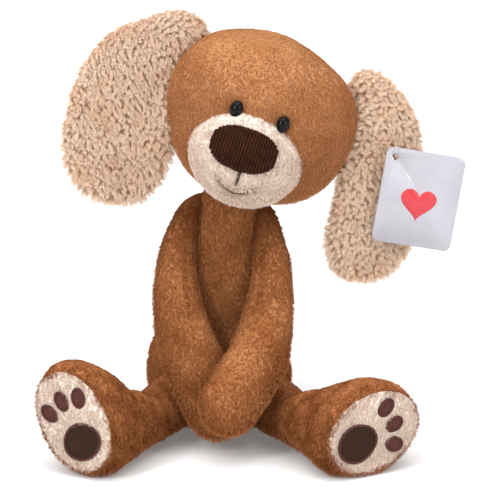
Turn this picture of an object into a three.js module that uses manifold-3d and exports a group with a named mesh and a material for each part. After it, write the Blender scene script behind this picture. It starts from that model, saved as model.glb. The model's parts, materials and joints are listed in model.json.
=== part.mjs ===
// A sitting plush dog, in millimetres. +Z is up, the dog faces -Y, and its own left is +X.
// The origin is on the floor, under the middle of the seat.

import * as THREE from 'three';
import { mergeVertices } from 'three/addons/utils/BufferGeometryUtils.js';
import Module from 'manifold-3d';

const wasm = await Module();
wasm.setup();

// ---- Driving dimensions ----

const WALL = 2; // fabric with its backing
const GAP = 0.3; // between pieces that touch
const POCKET = 0.5; // around hard pieces set into soft ones

const LEFT = 1; // the dog's own left, towards +X
const RIGHT = -1;

const HEAD = {
  centre: new THREE.Vector3(35, -10, 279.5),
  half: new THREE.Vector3(82, 74, 77),
  crown: 66, // half height above the middle, where the head is flatter
  roll: 18, // leans towards the dog's left
  turn: -4, // looks a little to the dog's right
  neckAngle: 17, // from the pole to the edge of the neck opening
};
const MUZZLE = { centre: new THREE.Vector3(-1, -47, -28.5), half: new THREE.Vector3(49, 44, 45.5) };
const NOSE = { centre: new THREE.Vector3(-4, -83, -19.5), half: new THREE.Vector3(29.5, 20, 18.5) };
const MOUTH = { halfWidth: 16, dip: 9, below: 20.5 }; // the smile, and its lowest point's drop below the nose
const EYE = { side: 20.5, height: 8, half: new THREE.Vector3(5.6, 4.2, 7), stem: 2.2, stemLength: 10 };
const WASHER = { radius: 8, thickness: 1.5, depth: 4.6 };
const STITCH = 0.9; // radius of the thread

const EAR_ROOT = new THREE.Vector3(67, 13, 42); // in the head, to one side
const EAR = {
  neck: 12, // half width where it is sewn to the head
  fullFrom: 0.55, // shares of its length
  roundFrom: 0.6,
  blunt: 2.6, // how square its end is
  halfThickness: 11,
  mostThickness: 0.45, // share of its half width, where it is narrow
  tipThickness: 1,
  lift: 60, // how far it lifts outwards
  clearance: 1.2, // from the head as it lifts
};
const LEFT_EAR = {
  halfWidth: 42,
  // Each route runs from the ear's root: out over the side of the head, then down.
  route: [[11, -1, -8], [21, -5, -34], [20, -9, -88], [3, -13, -164]],
  facing: [0.42, -0.91, 0],
};
const RIGHT_EAR = {
  halfWidth: 47,
  route: [[-22, -6, 0], [-52, -8, -26], [-73, -10, -82], [-76, -12, -140]],
  facing: [-0.17, -0.98, 0],
};

const CARD = {
  width: 67,
  height: 82,
  thickness: 0.8,
  corner: 6,
  hole: 2.5, // radius
  holeInset: 8, // from the card's left and top edges to the hole
  tilt: -9.5,
  hang: new THREE.Vector3(147, -36, 244), // where the hole is
};
// The loop goes from the ear through the hole and back to the ear. Each place is [forward, up] from the hole.
const LOOP = { radius: 0.6, path: [[-12.5, 1], [-6, 0], [0, 0], [2.4, 3], [2.2, 8.5], [-4, 12], [-12, 9]] };

const TORSO_TOP = 200;
const ARM = { root: 13, hand: 25, flat: 0.66 };
const LEG = { radius: 27, hipRadius: 24, hipSide: 33, hipForward: -24, hipHeight: 33.7, yaw: 31, length: 153 };
const SOLE = { toe: 43.5, side: 33, thickness: 3, lift: 17 };
const FOOT_EDGE = 6; // how far the foot's fullest part stands outside its sole
const LEG_SWING = 30; // how far each leg turns outwards at its hip
const LEG_ROOM = { clearance: 2.6, length: 70 }; // the opening in the torso for each leg
const ROLL = { left: 76, right: 32 }; // how far each foot's toes fall outwards
const HEEL_PAD = { toe: 16, side: 18, drop: 18 };
const TOE_PAD = { toe: 8.5, side: 6.5, reach: 37, spread: 27 };
const PAD_THICKNESS = 1.2;
const TAIL_RADIUS = 10;
const POUCH = { half: new THREE.Vector3(33, 22, 13), back: 24 }; // of pellets, in the seat
const LABEL = { width: 18, thickness: 0.8, height: 24, turn: -60, place: new THREE.Vector3(-38, 61, 34) };

// ---- Materials ----

const cloth = (color) => new THREE.MeshStandardMaterial({ color, roughness: 0.95, metalness: 0 });
const brownPlush = () => cloth(0xaa6234);
const creamPlush = () => cloth(0xe1c8b4);
const sherpa = () => cloth(0xe8d0b0);
const corduroy = () => cloth(0x3a2018);
const padFabric = () => cloth(0x32201a);
const thread = () => cloth(0x3c2c26);
const filling = () => cloth(0xf2f0ea);
const label = () => cloth(0xf4f2ee);
const blackPlastic = () => new THREE.MeshStandardMaterial({ color: 0x0c0b0b, roughness: 0.12, metalness: 0 });
const clearPlastic = () => new THREE.MeshStandardMaterial({ color: 0xe8e8e8, roughness: 0.3, metalness: 0 });
const card = () => new THREE.MeshStandardMaterial({ color: 0xd8d6e0, roughness: 0.5, metalness: 0 });

// ---- Geometry helpers ----

const vec = (x, y, z) => new THREE.Vector3(x, y, z);
const radians = THREE.MathUtils.degToRad;

function signedVolume(points, faces) {
  let sum = 0;
  for (const [a, b, c] of faces) {
    sum += points[a].dot(points[b].clone().cross(points[c]));
  }
  return sum / 6;
}

function geometryFrom(points, faces) {
  const outward = signedVolume(points, faces) > 0 ? faces : faces.map(([a, b, c]) => [a, c, b]);
  const geometry = new THREE.BufferGeometry();
  geometry.setAttribute('position', new THREE.Float32BufferAttribute(points.flatMap((p) => p.toArray()), 3));
  geometry.setIndex(outward.flat());
  return geometry;
}

// A closed body from a row of rings with equal numbers of points. A pole closes each end, and with
// no poles the last ring joins the first.
function ringBody(rings, firstPole, lastPole) {
  const sides = rings[0].length;
  const points = rings.flat();
  const faces = [];
  const joins = firstPole ? rings.length - 1 : rings.length;
  for (let ring = 0; ring < joins; ring += 1) {
    const here = ring * sides;
    const there = ((ring + 1) % rings.length) * sides;
    for (let side = 0; side < sides; side += 1) {
      const next = (side + 1) % sides;
      faces.push([here + side, here + next, there + next], [here + side, there + next, there + side]);
    }
  }
  if (firstPole) {
    const first = points.push(firstPole) - 1;
    const last = points.push(lastPole) - 1;
    const lastRing = (rings.length - 1) * sides;
    for (let side = 0; side < sides; side += 1) {
      const next = (side + 1) % sides;
      faces.push([first, next, side], [last, lastRing + side, lastRing + next]);
    }
  }
  return geometryFrom(points, faces);
}

// One oval ring: half sizes along two directions, around a centre.
function oval(centre, across, up, halfAcross, halfUp, sides) {
  return Array.from({ length: sides }, (_, index) => {
    const angle = (index / sides) * 2 * Math.PI;
    return centre.clone()
      .addScaledVector(across, halfAcross * Math.cos(angle))
      .addScaledVector(up, halfUp * Math.sin(angle));
  });
}

// A soft form is a row of oval stations, drawn in by an inset for what lies inside it.
// Each station is {centre, across, up, halfAcross, halfUp}.
const ringsOf = (stations, inset, sides) => stations.map((station) => oval(
  station.centre, station.across, station.up, station.halfAcross - inset, station.halfUp - inset, sides,
));

const centreOf = (ring) => ring.reduce((sum, point) => sum.add(point), vec(0, 0, 0)).divideScalar(ring.length);

// A solid form with both ends closed.
function stuffedForm(stationsAt, inset, sides) {
  const { stations, firstTip, lastTip } = stationsAt(inset);
  const rings = ringsOf(stations, inset, sides);
  return ringBody(rings, firstTip ?? centreOf(rings[0]), lastTip ?? centreOf(rings.at(-1)));
}

// A skin that is closed at its first end and open at its last.
function skinForm(stationsAt, sides) {
  const outside = stationsAt(0);
  const inside = stationsAt(WALL);
  const outer = ringsOf(outside.stations, 0, sides);
  const inner = ringsOf(inside.stations, WALL, sides);
  const firstTip = outside.firstTip ?? centreOf(outer[0]);
  const innerTip = inside.firstTip ?? centreOf(inner[0]);
  return ringBody([...outer, ...inner.reverse()], firstTip, innerTip);
}

// Stations along a curve from its rounded start. sizeAt(t) gives [half width, half depth].
function limbStations(curve, sizeAt, facing, { cap, capSteps, middle, roundEnd }) {
  const length = curve.getLength();
  return (inset) => {
    const station = (distance, scale) => {
      const t = THREE.MathUtils.clamp(distance / length, 0, 1);
      const along = curve.getTangentAt(t);
      const across = along.clone().cross(facing).normalize();
      const up = across.clone().cross(along).normalize();
      const [halfWidth, halfDepth] = sizeAt(t);
      return {
        centre: curve.getPointAt(t),
        across,
        up,
        halfAcross: (halfWidth - inset) * scale + inset,
        halfUp: (halfDepth - inset) * scale + inset,
      };
    };
    const capStation = (step) => {
      const angle = (step / capSteps) * (Math.PI / 2);
      return { distance: inset + (cap - inset) * (1 - Math.cos(angle)), scale: Math.sin(angle) };
    };
    const stations = [];
    for (let step = 1; step <= capSteps; step += 1) {
      const { distance, scale } = capStation(step);
      stations.push(station(distance, scale));
    }
    const end = roundEnd ? length - cap : length;
    for (let step = 1; step <= middle; step += 1) {
      stations.push(station(cap + ((end - cap) * step) / middle, 1));
    }
    if (roundEnd) {
      for (let step = capSteps - 1; step >= 1; step -= 1) {
        const { distance, scale } = capStation(step);
        stations.push(station(length - distance, scale));
      }
    }
    return {
      stations,
      firstTip: curve.getPointAt(inset / length),
      lastTip: roundEnd ? curve.getPointAt(1 - inset / length) : undefined,
    };
  };
}

// A flat oval plate that faces +Z, with its back at z = 0.
function ovalPlate(halfX, halfY, thickness, sides) {
  const ring = (z) => oval(vec(0, 0, z), vec(1, 0, 0), vec(0, 1, 0), halfX, halfY, sides);
  return ringBody([ring(0), ring(thickness)], vec(0, 0, 0), vec(0, 0, thickness));
}

function ellipsoid(half, widthSegments, heightSegments) {
  const geometry = new THREE.SphereGeometry(1, widthSegments, heightSegments);
  geometry.rotateX(Math.PI / 2);
  return geometry.scale(half.x, half.y, half.z);
}

// A cylinder along Y that starts at its origin and runs to +Y.
function rodAlongY(radius, length, sides) {
  return new THREE.CylinderGeometry(radius, radius, length, sides).translate(0, length / 2, 0);
}

function threadAlong(points, radius, steps, arcs) {
  const outline = new THREE.Shape().absellipse(0, 0, radius, radius, 0, 2 * Math.PI);
  const path = new THREE.CatmullRomCurve3(points);
  return new THREE.ExtrudeGeometry(outline, { steps, curveSegments: arcs, bevelEnabled: false, extrudePath: path });
}

function solidFrom(geometry) {
  const plain = geometry.clone();
  plain.deleteAttribute('normal');
  plain.deleteAttribute('uv');
  const merged = mergeVertices(plain, 1e-4);
  return new wasm.Manifold(new wasm.Mesh({
    numProp: 3,
    vertProperties: Float32Array.from(merged.attributes.position.array),
    triVerts: Uint32Array.from(merged.index.array),
  }));
}

function geometryOf(solid) {
  const mesh = solid.getMesh();
  const geometry = new THREE.BufferGeometry();
  geometry.setAttribute('position', new THREE.BufferAttribute(mesh.vertProperties, 3));
  geometry.setIndex(new THREE.BufferAttribute(mesh.triVerts, 1));
  return geometry;
}

// The first geometry with the others cut out of it.
function cut(geometry, ...tools) {
  return geometryOf(tools.reduce((solid, tool) => solid.subtract(solidFrom(tool)), solidFrom(geometry)));
}

function piece(name, geometry, material) {
  const mesh = new THREE.Mesh(geometry, material);
  mesh.name = name;
  return mesh;
}

const sideName = (side) => (side === LEFT ? 'left' : 'right');

// ---- Head ----

const headGroup = new THREE.Group();
headGroup.position.copy(HEAD.centre);
headGroup.rotation.set(0, radians(HEAD.roll), radians(HEAD.turn), 'YZX');
headGroup.updateMatrixWorld();

const HEAD_SIDES = 20; // facets round it

const inset = (half, by) => half.clone().subScalar(by);

// The head's surface is an ellipsoid whose upper half is lower than its lower half.
function headBall(grow) {
  const geometry = ellipsoid(inset(HEAD.half, -grow), 28, 16);
  const places = geometry.attributes.position;
  const flatten = (HEAD.crown + grow) / (HEAD.half.z + grow);
  for (let index = 0; index < places.count; index += 1) {
    const height = places.getZ(index);
    places.setZ(index, height > 0 ? height * flatten : height);
  }
  return geometry;
}

// Oval stations from the crown down to the neck opening.
const headStations = (by) => {
  const half = inset(HEAD.half, by);
  const crown = HEAD.crown - by;
  const count = 9;
  const last = 180 - HEAD.neckAngle;
  const stations = Array.from({ length: count }, (_, index) => {
    const angle = radians((last * (index + 1)) / count);
    return {
      centre: vec(0, 0, (angle < Math.PI / 2 ? crown : half.z) * Math.cos(angle)),
      across: vec(1, 0, 0),
      up: vec(0, 1, 0),
      halfAcross: half.x * Math.sin(angle) + by,
      halfUp: half.y * Math.sin(angle) + by,
    };
  });
  return { stations, firstTip: vec(0, 0, crown) };
};

// The head's front at a side, and at a height above its middle.
const headFront = (side, height) => {
  const flattening = 1 - (side / HEAD.half.x) ** 2 - (height / HEAD.crown) ** 2;
  return -HEAD.half.y * Math.sqrt(flattening);
};

// An eye's own frame: its origin is on the head's surface and +Y goes straight in.
function eyeFrame(side) {
  const x = side * EYE.side;
  const place = vec(x, headFront(x, EYE.height), EYE.height);
  const upperHalf = vec(HEAD.half.x, HEAD.half.y, HEAD.crown);
  const inward = place.clone().divide(upperHalf).divide(upperHalf).normalize().negate();
  const turn = new THREE.Quaternion().setFromUnitVectors(vec(0, 1, 0), inward);
  return new THREE.Matrix4().compose(place, turn, vec(1, 1, 1));
}

function buildHead() {
  const before = 4; // the pockets start this far outside the skin
  const stemPocket = () => rodAlongY(EYE.stem + POCKET, before + EYE.stemLength, 10).translate(0, -before, 0);
  const washerPocket = () => {
    const rod = rodAlongY(WASHER.radius + POCKET, before + EYE.stemLength + 1, 14);
    return rod.translate(0, -before, 0);
  };
  const stemPockets = [LEFT, RIGHT].map((side) => stemPocket().applyMatrix4(eyeFrame(side)));
  const washerPockets = [LEFT, RIGHT].map((side) => washerPocket().applyMatrix4(eyeFrame(side)));
  const skin = cut(skinForm(headStations, HEAD_SIDES), ...stemPockets);
  const stuffing = cut(stuffedForm(headStations, WALL + GAP, HEAD_SIDES), ...washerPockets);
  headGroup.add(piece('head_skin', skin, brownPlush()));
  headGroup.add(piece('head_filling', stuffing, filling()));
}

// ---- Muzzle, nose and mouth ----

const muzzleBall = (grow) => ellipsoid(inset(MUZZLE.half, -grow), 18, 10).translate(...MUZZLE.centre);
const noseBall = (grow) => ellipsoid(inset(NOSE.half, -grow), 14, 8).translate(...NOSE.centre);

// The muzzle's front at a place across and below its middle, in the head's frame.
function muzzleFront(x, z, grow) {
  const half = inset(MUZZLE.half, -grow);
  const across = (x - MUZZLE.centre.x) / half.x;
  const height = (z - MUZZLE.centre.z) / half.z;
  return vec(x, MUZZLE.centre.y - half.y * Math.sqrt(1 - across ** 2 - height ** 2), z);
}

// The room that an eye's dome takes in front of the head.
const eyeRoom = (side) => ellipsoid(inset(EYE.half, -POCKET), 16, 10).applyMatrix4(eyeFrame(side));

function buildFace() {
  const behindMuzzle = headBall(3 * GAP);
  const eyeRooms = [eyeRoom(LEFT), eyeRoom(RIGHT)];
  const cover = cut(muzzleBall(0), muzzleBall(-WALL), behindMuzzle, ...eyeRooms);
  headGroup.add(piece('muzzle_cover', cover, creamPlush()));
  const stuffing = cut(muzzleBall(-WALL - GAP), behindMuzzle, ...eyeRooms);
  headGroup.add(piece('muzzle_filling', stuffing, filling()));

  const behindNose = [muzzleBall(GAP), behindMuzzle];
  headGroup.add(piece('nose_cover', cut(noseBall(0), noseBall(-WALL), ...behindNose), corduroy()));
  headGroup.add(piece('nose_filling', cut(noseBall(-WALL - GAP), ...behindNose), filling()));
}

// Threads lie on the muzzle: one straight down from the nose, and one along the smile.
function buildMouth() {
  const proud = STITCH + GAP;
  const noseFoot = NOSE.centre.z - NOSE.half.z;
  const smileEnd = noseFoot - MOUTH.below + MOUTH.dip;
  const heights = [0.2, 0.5, 0.8].map((part) => THREE.MathUtils.lerp(noseFoot, smileEnd, part));
  const line = heights.map((height) => muzzleFront(MUZZLE.centre.x, height, proud));
  headGroup.add(piece('philtrum_stitch', threadAlong(line, STITCH, 4, 3), thread()));
  const smile = [-1, -0.5, 0, 0.5, 1].map((part) => {
    const height = smileEnd - MOUTH.dip * Math.cos((part * Math.PI) / 2);
    return muzzleFront(MUZZLE.centre.x + part * MOUTH.halfWidth, height, proud);
  });
  headGroup.add(piece('smile_stitch', threadAlong(smile, STITCH, 10, 3), thread()));
}

// An eye is a domed button on a stem, and a washer locks the stem behind the skin.
function buildEye(side) {
  const group = new THREE.Group();
  group.applyMatrix4(eyeFrame(side));
  const size = 4 * EYE.half.z;
  const inside = new THREE.BoxGeometry(size, size, size).translate(0, size / 2, 0);
  const dome = cut(ellipsoid(EYE.half, 16, 10), inside).translate(0, -GAP, 0);
  const stem = rodAlongY(EYE.stem, EYE.stemLength, 10).translate(0, -1, 0);
  const eye = geometryOf(solidFrom(dome).add(solidFrom(stem)));
  group.add(piece(`${sideName(side)}_eye`, eye, blackPlastic()));

  const disc = rodAlongY(WASHER.radius, WASHER.thickness, 14);
  const hole = rodAlongY(EYE.stem + GAP, 4 * WASHER.thickness, 10).translate(0, -WASHER.thickness, 0);
  const washer = piece(`${sideName(side)}_eye_washer`, cut(disc, hole), clearPlastic());
  washer.position.y = WASHER.depth;
  group.add(washer);
  headGroup.add(group);
}

// ---- Ears ----

const earRootAt = (side) => headGroup.localToWorld(vec(side * EAR_ROOT.x, EAR_ROOT.y, EAR_ROOT.z));

// One panel of an ear: a half oval section carried along the ear, flat where the two panels meet.
function earPanel(curve, widthAt, facing, outward) {
  const steps = 9;
  const arcSteps = 6;
  const directionsAt = (t) => {
    const along = curve.getTangentAt(t);
    const across = along.clone().cross(facing).normalize();
    return { across, up: across.clone().cross(along).normalize().multiplyScalar(outward) };
  };
  const ringAt = (t) => {
    const { across, up } = directionsAt(t);
    const halfWidth = widthAt(t);
    const thickness = Math.min(EAR.halfThickness, halfWidth * EAR.mostThickness);
    const base = curve.getPointAt(t).addScaledVector(up, GAP / 2);
    return Array.from({ length: arcSteps + 1 }, (_, index) => {
      const angle = (index / arcSteps) * Math.PI;
      return base.clone()
        .addScaledVector(across, halfWidth * Math.cos(angle))
        .addScaledVector(up, thickness * Math.sin(angle));
    });
  };
  const rings = Array.from({ length: steps }, (_, index) => ringAt((index + 0.5) / steps));
  const tipAt = (t) => curve.getPointAt(t).addScaledVector(directionsAt(t).up, GAP / 2 + EAR.tipThickness);
  return ringBody(rings, tipAt(0), tipAt(1));
}

// Half an ear's width along its length: narrow at the head, full at its middle, round at its end.
const earWidth = (full) => (t) => {
  const neck = THREE.MathUtils.lerp(EAR.neck, full, Math.sin(Math.min(t / EAR.fullFrom, 1) * (Math.PI / 2)));
  if (t < EAR.roundFrom) return neck;
  const past = (t - EAR.roundFrom) / (1 - EAR.roundFrom);
  return neck * (1 - past ** EAR.blunt) ** (1 / EAR.blunt);
};

// The room that the head needs beside an ear, at rest and as the ear lifts about its root.
function headRooms(side) {
  const root = earRootAt(side);
  return [0, 0.5, 1].map((part) => {
    const room = headBall(EAR.clearance).applyMatrix4(headGroup.matrixWorld);
    const lowered = radians(side * EAR.lift * part);
    return room.translate(...root.clone().negate()).rotateY(lowered).translate(...root);
  });
}

function buildEar(side, { halfWidth, route, facing }) {
  const root = earRootAt(side);
  const curve = new THREE.CatmullRomCurve3([root, ...route.map((step) => root.clone().add(vec(...step)))]);
  const widthAt = earWidth(halfWidth);
  const rooms = headRooms(side);
  const panel = (outward) => cut(earPanel(curve, widthAt, vec(...facing), outward), ...rooms);
  const name = sideName(side);
  const group = new THREE.Group();
  group.add(piece(`${name}_ear_outer`, panel(1), sherpa()));
  group.add(piece(`${name}_ear_lining`, panel(-1), sherpa()));
  return group;
}

// ---- Hanging card ----

// A rounded rectangle with its lower left corner at the origin, and a round hole near its upper left corner.
function cardShape() {
  const { width, height, corner, hole, holeInset } = CARD;
  const quarter = Math.PI / 2;
  const shape = new THREE.Shape();
  shape.moveTo(corner, 0);
  shape.absarc(width - corner, corner, corner, -quarter, 0);
  shape.absarc(width - corner, height - corner, corner, 0, quarter);
  shape.absarc(corner, height - corner, corner, quarter, 2 * quarter);
  shape.absarc(corner, corner, corner, 2 * quarter, 3 * quarter);
  shape.holes.push(new THREE.Path().absarc(holeInset, height - holeInset, hole, 0, 4 * quarter, true));
  return shape;
}

// The card hangs from its hole by a plastic loop that is pushed through the ear's front panel.
function buildCard() {
  const { height, thickness, tilt, holeInset, hang } = CARD;
  const sheet = new THREE.ExtrudeGeometry(cardShape(), { depth: thickness, bevelEnabled: false, curveSegments: 5 });
  sheet.translate(-holeInset, holeInset - height, -thickness / 2);
  const face = piece('hang_card', sheet, card());
  face.rotation.set(radians(90), radians(-tilt), 0, 'YXZ');
  face.position.copy(hang);

  const loop = LOOP.path.map(([forward, up]) => hang.clone().add(vec(0, -forward, up)));
  const group = new THREE.Group();
  group.add(face, piece('card_loop', threadAlong(loop, LOOP.radius, 16, 3), clearPlastic()));
  return group;
}

// ---- Torso ----

// Each row is height, half width, half depth, and how far the middle is to the side and back.
const TORSO_ROWS = [
  [0, 44, 34, 0, 12],
  [8, 54, 42, 0, 12],
  [30, 60, 46, 0, 12],
  [62, 60, 45, 0, 11],
  [96, 49, 40, 2, 8],
  [132, 38, 33, 4, 4],
  [166, 28, 27, 7, 0],
  [186, 22, 23, 8.5, -3],
  [TORSO_TOP, 21, 22, 9, -3],
];
const FILLING_FOOT = 30; // the seat pouch lies below this height
const TORSO_SIDES = 24; // facets round it

const torsoStations = (rows) => (by) => {
  const stations = rows.map(([height, halfWidth, halfDepth, side, back]) => ({
    centre: vec(side, back, height + (height === 0 ? by : 0)),
    across: vec(1, 0, 0),
    up: vec(0, 1, 0),
    halfAcross: halfWidth,
    halfUp: halfDepth,
  }));
  return { stations };
};

const hipPlace = (side) => vec(side * LEG.hipSide, LEG.hipForward, LEG.hipHeight);

// The room that one leg needs, at rest and as it turns outwards.
function legRooms() {
  const { clearance, length } = LEG_ROOM;
  return [LEFT, RIGHT].flatMap((side) => [0, 0.5, 1].map((part) => {
    const room = new THREE.CapsuleGeometry(LEG.hipRadius + clearance, length, 3, 12);
    room.translate(0, -length / 2, 0);
    room.rotateZ(radians(side * (LEG.yaw + part * LEG_SWING)));
    return room.translate(...hipPlace(side));
  }));
}

function buildTorso() {
  const rooms = legRooms();
  const rowsAboveSeat = TORSO_ROWS.filter(([height]) => height >= FILLING_FOOT);
  const skin = skinForm(torsoStations(TORSO_ROWS), TORSO_SIDES);
  const stuffing = stuffedForm(torsoStations(rowsAboveSeat), WALL + GAP, TORSO_SIDES);

  const pouch = piece('seat_pellet_pouch', ellipsoid(POUCH.half, 14, 8), filling());
  pouch.position.set(0, POUCH.back, WALL + 2 * GAP + POUCH.half.z);

  const ribbon = piece('seam_label', new THREE.BoxGeometry(LABEL.width, LABEL.thickness, LABEL.height), label());
  ribbon.rotation.z = radians(LABEL.turn);
  ribbon.position.copy(LABEL.place);

  const group = new THREE.Group();
  group.add(piece('torso_skin', cut(skin, ...rooms), brownPlush()));
  group.add(piece('torso_filling', cut(stuffing, ...rooms), filling()));
  group.add(pouch, ribbon);
  return group;
}

// ---- Arms ----

// From the hand, which is the curve's start, up to the shoulder.
const ARM_ROUTES = {
  left: [[-9, -129, 38], [8, -112, 53], [33, -79, 80], [45, -50, 112], [46, -29, 150], [43.5, -7, 192]],
  right: [[5, -86, 15], [-4, -79, 36], [-26, -66, 78], [-39, -46, 114], [-36, -27, 152], [-28, -7, 192]],
};

function buildArm(side) {
  const group = new THREE.Group();
  const name = sideName(side);
  const curve = new THREE.CatmullRomCurve3(ARM_ROUTES[name].map((point) => vec(...point)));
  const sizeAt = (t) => {
    const width = THREE.MathUtils.lerp(ARM.hand, ARM.root, THREE.MathUtils.smoothstep(t, 0.12, 0.95));
    return [width, width * THREE.MathUtils.lerp(ARM.flat, 0.95, t)];
  };
  const stations = limbStations(curve, sizeAt, vec(0, -0.8, 0.6), { cap: ARM.hand, capSteps: 3, middle: 7 });
  group.add(piece(`${name}_arm_skin`, skinForm(stations, 12), brownPlush()));
  group.add(piece(`${name}_arm_filling`, stuffedForm(stations, WALL + GAP, 12), filling()));
  return group;
}

// ---- Legs ----

// A leg is built along -Y from its hip, with its toes towards +Z, and then rolled and turned.
function legStations(by) {
  const station = (distance, lift, halfToe, halfSide) => ({
    centre: vec(0, -distance, lift),
    across: vec(1, 0, 0),
    up: vec(0, 0, 1),
    halfAcross: halfSide,
    halfUp: halfToe,
  });
  const { radius, hipRadius, length } = LEG;
  const capSteps = 4;
  const cap = Array.from({ length: capSteps }, (_, index) => {
    const angle = ((index + 1) / capSteps) * (Math.PI / 2);
    const size = (hipRadius - by) * Math.sin(angle) + by;
    return station(-(hipRadius - by) * Math.cos(angle), 0, size, size);
  });
  const fullToe = SOLE.toe + FOOT_EDGE;
  const fullSide = SOLE.side + FOOT_EDGE;
  const stations = [
    ...cap,
    station(58, 0, hipRadius, hipRadius),
    station(length - 60, 0, radius, radius),
    station(length - 44, SOLE.lift / 2, (radius + fullToe) / 2, (radius + fullSide) / 2),
    station(length - 30, SOLE.lift, fullToe - 2, fullSide - 2),
    station(length - 20, SOLE.lift, fullToe, fullSide),
    station(length - 10, SOLE.lift, fullToe, fullSide),
    station(length, SOLE.lift, SOLE.toe, SOLE.side),
  ];
  return { stations, firstTip: vec(0, hipRadius - by, 0) };
}

function buildLeg(side, roll) {
  const group = new THREE.Group();
  group.position.copy(hipPlace(side));
  group.rotation.set(0, radians(side * roll), radians(side * LEG.yaw), 'ZYX');
  const name = sideName(side);
  group.add(piece(`${name}_leg_skin`, skinForm(legStations, 16), brownPlush()));
  group.add(piece(`${name}_leg_filling`, stuffedForm(legStations, WALL + 2 * GAP, 16), filling()));

  const onSole = new THREE.Group();
  onSole.position.set(0, -LEG.length - GAP, SOLE.lift);
  onSole.rotation.x = Math.PI / 2;
  const { thickness } = SOLE;
  onSole.add(piece(`${name}_sole`, ovalPlate(SOLE.side - 0.5, SOLE.toe - 0.5, thickness, 20), creamPlush()));

  const padFront = thickness + GAP;
  const heel = piece(`${name}_heel_pad`, ovalPlate(HEEL_PAD.side, HEEL_PAD.toe, PAD_THICKNESS, 18), padFabric());
  heel.position.set(0, -HEEL_PAD.drop, padFront);
  onSole.add(heel);
  ['inner', 'middle', 'outer'].forEach((toe, index) => {
    const angle = radians(TOE_PAD.spread * (index - 1) * side);
    const shape = ovalPlate(TOE_PAD.side, TOE_PAD.toe, PAD_THICKNESS, 12);
    const pad = piece(`${name}_${toe}_toe_pad`, shape, padFabric());
    pad.position.set(TOE_PAD.reach * Math.sin(angle), TOE_PAD.reach * Math.cos(angle) - HEEL_PAD.drop, padFront);
    pad.rotation.z = -angle;
    onSole.add(pad);
  });
  group.add(onSole);
  return group;
}

// ---- Tail ----

function buildTail() {
  const group = new THREE.Group();
  const points = [vec(2, 104, 62), vec(1, 96, 58), vec(0, 84, 50), vec(0, 70.5, 43), vec(0, 61, 39)];
  const curve = new THREE.CatmullRomCurve3(points);
  const options = { cap: TAIL_RADIUS, capSteps: 3, middle: 3, roundEnd: true };
  const stations = limbStations(curve, () => [TAIL_RADIUS, TAIL_RADIUS], vec(1, 0, 0), options);
  group.add(piece('tail_skin', skinForm(stations, 12), brownPlush()));
  group.add(piece('tail_filling', stuffedForm(stations, WALL + GAP, 12), filling()));
  return group;
}

// ---- The whole dog ----

const dog = new THREE.Group();
dog.name = 'plush_dog';
buildHead();
buildFace();
buildMouth();
buildEye(LEFT);
buildEye(RIGHT);
dog.add(headGroup);

dog.add(buildEar(LEFT, LEFT_EAR));
dog.add(buildEar(RIGHT, RIGHT_EAR));
dog.add(buildCard());

dog.add(buildTorso());
dog.add(buildArm(LEFT));
dog.add(buildArm(RIGHT));
dog.add(buildLeg(LEFT, ROLL.left));
dog.add(buildLeg(RIGHT, ROLL.right));
dog.add(buildTail());

export default dog;
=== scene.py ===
"""The looks of a sitting plush dog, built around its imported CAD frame.

Metres. +Z is up, the dog faces -Y, and its own left is +X. Every stuffed piece is a fine mesh that takes the
place of the CAD solids it stands for, covered in short pile or in sherpa.
"""

import json
import math

import bpy
import numpy as np
from mathutils import Matrix, Vector, noise


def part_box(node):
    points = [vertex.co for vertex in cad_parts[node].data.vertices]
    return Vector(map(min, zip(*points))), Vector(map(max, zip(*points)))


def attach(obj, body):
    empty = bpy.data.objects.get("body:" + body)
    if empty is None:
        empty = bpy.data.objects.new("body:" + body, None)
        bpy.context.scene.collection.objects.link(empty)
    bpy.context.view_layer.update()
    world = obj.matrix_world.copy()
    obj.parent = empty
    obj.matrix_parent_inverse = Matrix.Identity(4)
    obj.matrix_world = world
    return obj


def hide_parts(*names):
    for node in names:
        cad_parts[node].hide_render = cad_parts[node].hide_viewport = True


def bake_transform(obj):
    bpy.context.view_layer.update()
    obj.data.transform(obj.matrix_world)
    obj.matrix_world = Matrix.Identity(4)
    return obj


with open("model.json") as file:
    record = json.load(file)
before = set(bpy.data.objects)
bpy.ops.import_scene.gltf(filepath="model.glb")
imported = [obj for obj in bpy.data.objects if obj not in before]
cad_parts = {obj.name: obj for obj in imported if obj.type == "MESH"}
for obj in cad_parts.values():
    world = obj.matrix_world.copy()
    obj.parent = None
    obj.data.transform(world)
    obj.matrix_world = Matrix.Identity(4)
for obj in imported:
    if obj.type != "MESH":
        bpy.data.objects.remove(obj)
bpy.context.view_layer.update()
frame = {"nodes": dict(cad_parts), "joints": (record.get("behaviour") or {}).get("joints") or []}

NOISE_SEED = 1795062352  # any fixed number will do, since the unseeded vector noise follows the clock
noise.seed_set(NOISE_SEED)

# ---- Driving dimensions ----

MM = 0.001
CM = 0.01
LEFT, RIGHT = 1, -1  # the dog's own left is +X
SIDE_NAMES = {LEFT: "left", RIGHT: "right"}

PILE = 3.1 * MM  # the brown plush's pile
HEAD_PILE = 2.6 * MM
SHORT_PILE = 2.2 * MM  # muzzle and soles
TUFT = 5.5 * MM  # the ears' sherpa
PILE_ROOM = 1.2 * MM  # a skin lies this far inside its CAD solid, and its pile fills the rest
PLUSH_DENSITY = 320  # strands on a square centimetre

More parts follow.
